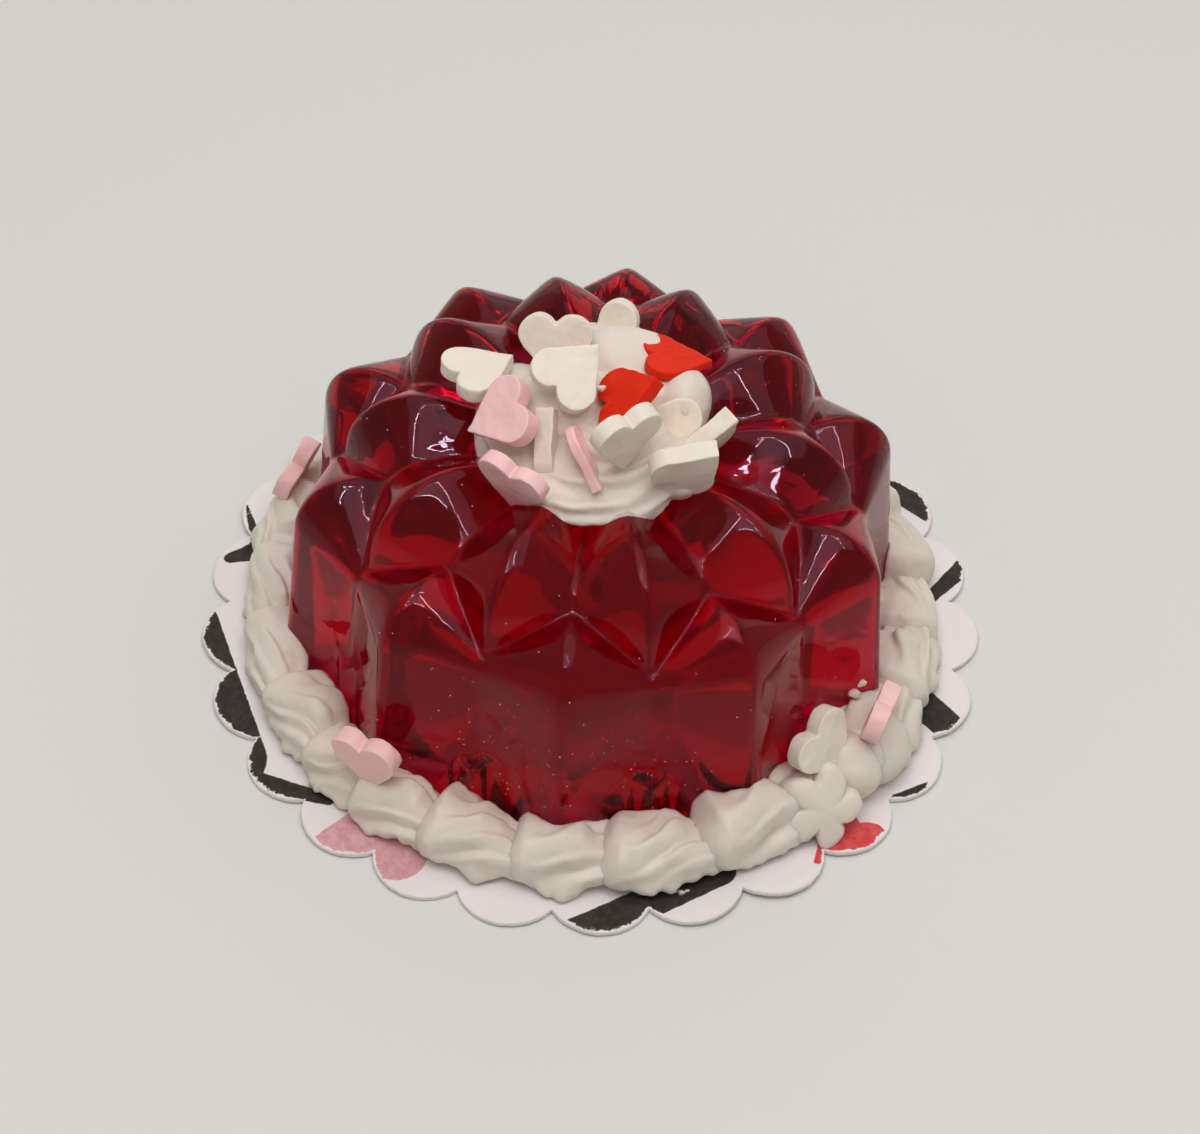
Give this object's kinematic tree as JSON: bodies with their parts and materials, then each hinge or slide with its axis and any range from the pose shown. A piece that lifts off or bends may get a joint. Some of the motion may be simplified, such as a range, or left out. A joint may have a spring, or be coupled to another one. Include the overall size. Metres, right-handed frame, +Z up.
{
  "type": "miniature moulded jelly",
  "caption": "Toy dessert: a clear red resin jelly moulded as a crown of two rings of pointed lobes, with a piped border, a cream dollop and clay heart slices, on a scalloped card.",
  "frame": {"origin": "centre of the card's underside, on the surface it rests on", "axes": "+Z up through the middle of the jelly; -Y towards the side with the lone pink heart at its left"},
  "size_m": [0.0575, 0.0576, 0.0283],
  "materials": {
    "jelly": "clear deep red cast resin, glossy",
    "cream": "off-white modelling cream, soft satin",
    "card": "thin white card, matte, simple print",
    "white": "warm white modelling clay, satin",
    "pink": "pale pink modelling clay, satin",
    "red": "bright red modelling clay, satin"
  },
  "bodies": {
    "root": {"card": "card", "jelly": "jelly", "cream_border": "cream", "cream_top": "cream", "heart_left": "white", "heart_back": "white", "heart_top": "white", "heart_crown": "white", "heart_pink_left": "pink", "heart_upright": "white", "heart_pink_low": "pink", "heart_pink_front": "pink", "heart_red_back": "red", "heart_red_crown": "red", "heart_two_up": "white", "heart_right": "white", "heart_arm": "white", "heart_low_right": "white", "border_pink_left": "pink", "border_white": "white", "border_pink_right": "pink", "border_pink_back": "pink"}
  },
  "joints": []
}
